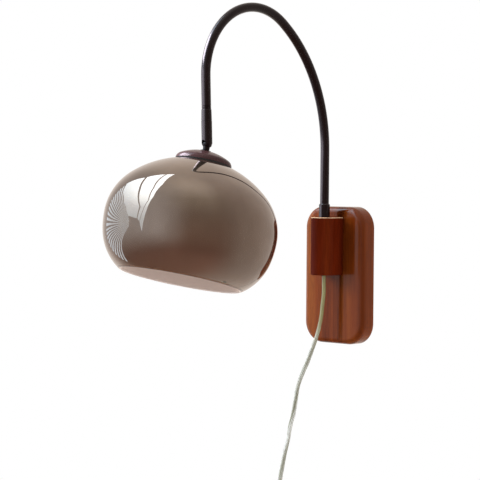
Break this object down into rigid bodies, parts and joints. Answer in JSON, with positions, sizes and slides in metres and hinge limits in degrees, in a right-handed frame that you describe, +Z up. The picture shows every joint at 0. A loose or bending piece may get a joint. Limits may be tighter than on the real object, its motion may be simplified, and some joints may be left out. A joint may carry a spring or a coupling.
{
  "type": "wall sconce",
  "caption": "Wall lamp with a lacquered wood plate, an arched swing arm, a ball joint and a round smoked glass shade, on a plug-in cord with an inline switch.",
  "frame": {"origin": "centre of the wood plate's back face, on the wall", "axes": "+Z up along the wall, +Y into the wall, so the lamp stands out along -Y"},
  "size_m": [0.2199, 0.4025, 0.8744],
  "materials": {
    "wood": "gloss lacquer",
    "dark_metal": "satin",
    "cap_metal": "satin",
    "steel": "satin",
    "chrome": "polished",
    "brass": "satin",
    "smoked_glass": "polished",
    "bulb_glass": "frosted",
    "porcelain": "gloss",
    "black_plastic": "matte",
    "brown_plastic": "gloss",
    "rubber": "matte",
    "clear_cord": "gloss"
  },
  "bodies": {
    "wall_side": {"wall_plate": "wood", "hanger_plate": "steel", "hanger_screws": "steel", "arm_block": "wood", "block_screws": "steel", "pivot_bush": "brass", "cord_bushing": "brown_plastic", "cord_tail": "clear_cord", "cord_drop": "clear_cord", "switch_base": "brown_plastic", "switch_cover": "brown_plastic", "switch_screws": "steel", "cord_coil": "clear_cord", "cord_tie": "black_plastic", "plug_body": "brown_plastic", "plug_pins": "chrome"},
    "arm": {"arm_tube": "dark_metal", "arm_collar": "dark_metal", "collar_set_screw": "steel", "pivot_washer": "steel", "spring_washer": "steel", "arm_nut": "steel", "arm_lead": "clear_cord", "joint_nipple": "brass", "lock_ring": "dark_metal", "joint_coupling": "dark_metal", "swivel_clip": "steel"},
    "swivel": {"joint_sleeve": "dark_metal", "ball_seat": "brass", "joint_lead": "clear_cord"},
    "head": {"joint_ball": "chrome", "shade_cap": "cap_metal", "cap_gasket": "rubber", "shade_glass": "smoked_glass", "inner_gasket": "rubber", "clamp_disc": "steel", "stem_nut": "steel", "holder_cap": "black_plastic", "holder_body": "black_plastic", "holder_insert": "porcelain", "screw_shell": "brass", "centre_contact": "brass", "terminal_screws": "brass", "head_lead": "clear_cord", "bulb_base": "steel", "bulb_contact": "black_plastic", "bulb_glass": "bulb_glass"},
    "rocker": {"switch_rocker": "brown_plastic"}
  },
  "joints": [
    {"name": "arm_swing", "type": "hinge", "parent": "wall_side", "child": "arm", "pos_m": [0, -0.042, 0.079], "axis": [0, 0, 1], "range_deg": [-70, 70]},
    {"name": "head_swivel", "type": "hinge", "parent": "arm", "child": "swivel", "pos_m": [0, -0.26636, 0.1734], "axis": [0, -0.0349, 0.9994], "range_deg": [-170, 170]},
    {"name": "head_tilt", "type": "hinge", "parent": "swivel", "child": "head", "pos_m": [0, -0.26636, 0.1734], "axis": [-0.9969, 0.0784, 0.0027], "range_deg": [-16, 69]},
    {"name": "switch_rock", "type": "hinge", "parent": "wall_side", "child": "rocker", "pos_m": [-0.041, -0.0885, -0.347], "axis": [-1, 0, 0], "range_deg": [0, 14]}
  ]
}
